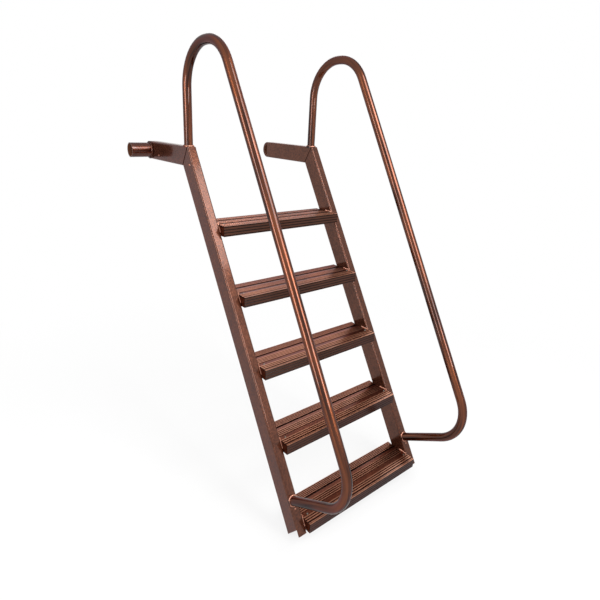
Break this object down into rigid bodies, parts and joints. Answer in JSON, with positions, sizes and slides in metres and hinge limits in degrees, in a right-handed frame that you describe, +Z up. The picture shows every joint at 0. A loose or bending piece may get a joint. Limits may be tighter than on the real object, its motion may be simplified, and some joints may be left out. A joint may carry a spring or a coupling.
{
  "type": "dock ladder",
  "caption": "Leaning dock ladder with wide ribbed treads, level mounting arms with side pivot tubes, and bent round handrails.",
  "frame": {"origin": "underside of the left mounting arm, on its centre line, 150 mm from the pivot axis", "axes": "+X across the ladder from the climber's left to right, +Y towards the dock, +Z up"},
  "size_m": [0.85, 1.3604, 1.704],
  "materials": {
    "rail_tube": "antique copper coat, gloss",
    "round_tube": "antique copper coat, high gloss",
    "tread_extrusion": "antique copper coat, gloss"
  },
  "bodies": {
    "root": {"rail_left": "rail_tube", "rail_right": "rail_tube", "arm_left": "rail_tube", "arm_right": "rail_tube", "sleeve_left": "round_tube", "sleeve_right": "round_tube", "pivot_tube_left": "round_tube", "pivot_tube_right": "round_tube", "handrail_left": "round_tube", "handrail_right": "round_tube", "tread_1": "tread_extrusion", "nose_cap_1_left": "tread_extrusion", "nose_cap_1_right": "tread_extrusion", "tread_2": "tread_extrusion", "nose_cap_2_left": "tread_extrusion", "nose_cap_2_right": "tread_extrusion", "tread_3": "tread_extrusion", "nose_cap_3_left": "tread_extrusion", "nose_cap_3_right": "tread_extrusion", "tread_4": "tread_extrusion", "nose_cap_4_left": "tread_extrusion", "nose_cap_4_right": "tread_extrusion", "tread_5": "tread_extrusion", "nose_cap_5_left": "tread_extrusion", "nose_cap_5_right": "tread_extrusion"}
  },
  "joints": []
}
